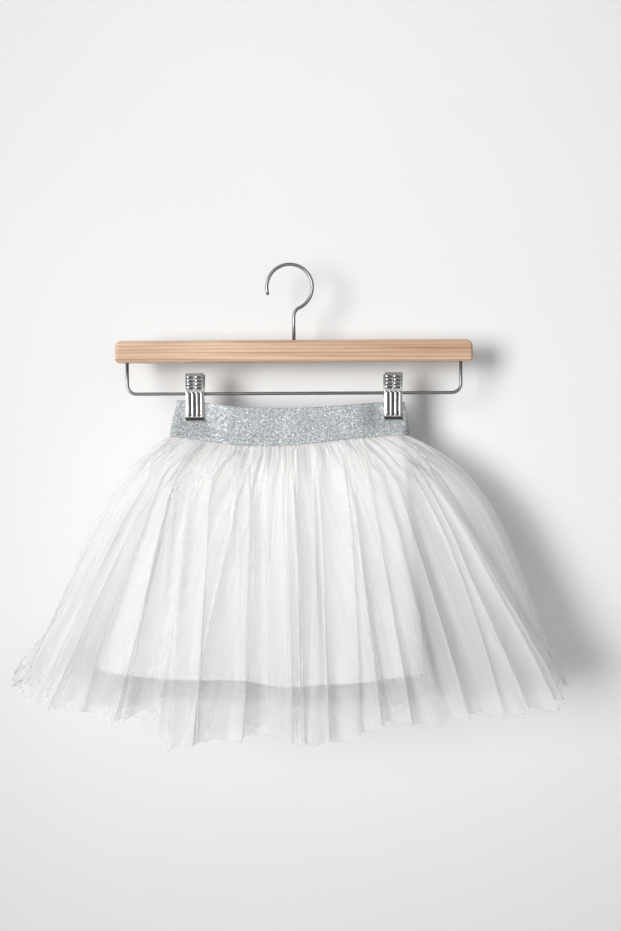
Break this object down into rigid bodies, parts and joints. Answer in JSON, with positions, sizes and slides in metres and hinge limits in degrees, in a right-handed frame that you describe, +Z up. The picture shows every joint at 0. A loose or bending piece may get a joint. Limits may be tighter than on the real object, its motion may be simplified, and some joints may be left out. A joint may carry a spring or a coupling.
{
  "type": "tutu skirt on a clip hanger",
  "caption": "Child's gathered tulle tutu with a glitter knit waistband and a slip lining, held by its waist in the clips of a wooden hanger.",
  "frame": {"origin": "inside of the hanger's hook above its stem, where a rod or wall hook carries it", "axes": "+Z up, the front of the skirt facing -Y, +X to the right seen from the front"},
  "size_m": [0.5034, 0.148, 0.4164],
  "materials": {
    "tulle": "soft off-white net, translucent",
    "lining": "thin ivory jersey",
    "glitter_knit": "silver knit with fine glitter",
    "wood": "pale, clear lacquered",
    "wire": "dull grey",
    "clip_metal": "nickel plated"
  },
  "bodies": {
    "root": {"waistband": "glitter_knit", "tulle_outer": "tulle", "tulle_middle": "tulle", "tulle_inner": "tulle", "lining": "lining", "hanger_hook": "wire", "hanger_bar": "wood", "hanger_rail": "wire", "clip_left_front_jaw": "clip_metal", "clip_left_back_jaw": "clip_metal", "clip_left_spring": "wire", "clip_right_front_jaw": "clip_metal", "clip_right_back_jaw": "clip_metal", "clip_right_spring": "wire"}
  },
  "joints": []
}
